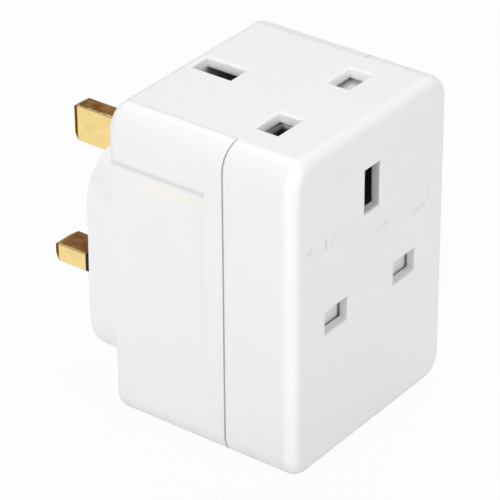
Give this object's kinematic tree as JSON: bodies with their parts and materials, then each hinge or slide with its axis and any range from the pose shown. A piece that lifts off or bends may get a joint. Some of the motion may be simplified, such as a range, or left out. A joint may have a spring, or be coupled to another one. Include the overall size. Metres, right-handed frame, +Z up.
{
  "type": "multi socket adapter",
  "caption": "White block adapter with brass plug pins on a raised rear boss, shuttered rectangular-pin sockets on its front, top and bottom faces, and a pull-out fuse carrier.",
  "frame": {"origin": "middle of the overall footprint, on the bottom face", "axes": "+Y from the front face along the plug pins towards the wall, +Z up, +X to the right seen from the front"},
  "size_m": [0.05, 0.071, 0.067],
  "materials": {
    "housing_plastic": "white moulded plastic with a soft gloss",
    "shutter_plastic": "off-white moulded plastic",
    "carrier_plastic": "white moulded plastic",
    "sleeve_plastic": "black moulded insulation",
    "pin_brass": "machined brass",
    "contact_brass": "folded brass sheet",
    "spring_steel": "drawn spring wire",
    "screw_steel": "plated steel",
    "fuse_ceramic": null,
    "fuse_cap_metal": "nickel plated caps"
  },
  "bodies": {
    "housing": {"front_cover": "housing_plastic", "rear_shell": "housing_plastic", "cover_screws": "screw_steel", "earth_pin": "pin_brass", "line_pin": "pin_brass", "neutral_pin": "pin_brass", "line_sleeve": "sleeve_plastic", "neutral_sleeve": "sleeve_plastic", "earth_busbar": "contact_brass", "line_busbar": "contact_brass", "neutral_busbar": "contact_brass", "fuse_link": "contact_brass", "line_fuse_clip": "contact_brass", "load_fuse_clip": "contact_brass", "front_shutter_spring": "spring_steel", "front_earth_clip": "contact_brass", "front_line_clip": "contact_brass", "front_neutral_clip": "contact_brass", "top_shutter_spring": "spring_steel", "top_earth_clip": "contact_brass", "top_line_clip": "contact_brass", "top_neutral_clip": "contact_brass", "bottom_shutter_spring": "spring_steel", "bottom_earth_clip": "contact_brass", "bottom_line_clip": "contact_brass", "bottom_neutral_clip": "contact_brass"},
    "front_shutter": {"front_shutter": "shutter_plastic"},
    "top_shutter": {"top_shutter": "shutter_plastic"},
    "bottom_shutter": {"bottom_shutter": "shutter_plastic"},
    "fuse_carrier": {"fuse_carrier": "carrier_plastic", "fuse_body": "fuse_ceramic", "fuse_caps": "fuse_cap_metal"}
  },
  "joints": [
    {"name": "front_shutter_slide", "type": "slide", "parent": "housing", "child": "front_shutter", "axis": [0, 0, -1], "range_m": [0, 0.0058], "stiffness_N_per_m": 100, "springref_m": -0.004, "deforming": ["front_shutter_spring"]},
    {"name": "top_shutter_slide", "type": "slide", "parent": "housing", "child": "top_shutter", "axis": [0, -1, 0], "range_m": [0, 0.0058], "stiffness_N_per_m": 100, "springref_m": -0.004, "deforming": ["top_shutter_spring"]},
    {"name": "bottom_shutter_slide", "type": "slide", "parent": "housing", "child": "bottom_shutter", "axis": [0, -1, 0], "range_m": [0, 0.0058], "stiffness_N_per_m": 100, "springref_m": -0.004, "deforming": ["bottom_shutter_spring"]},
    {"name": "fuse_carrier_slide", "type": "slide", "parent": "housing", "child": "fuse_carrier", "axis": [0, 1, 0], "range_m": [0, 0.014]}
  ]
}
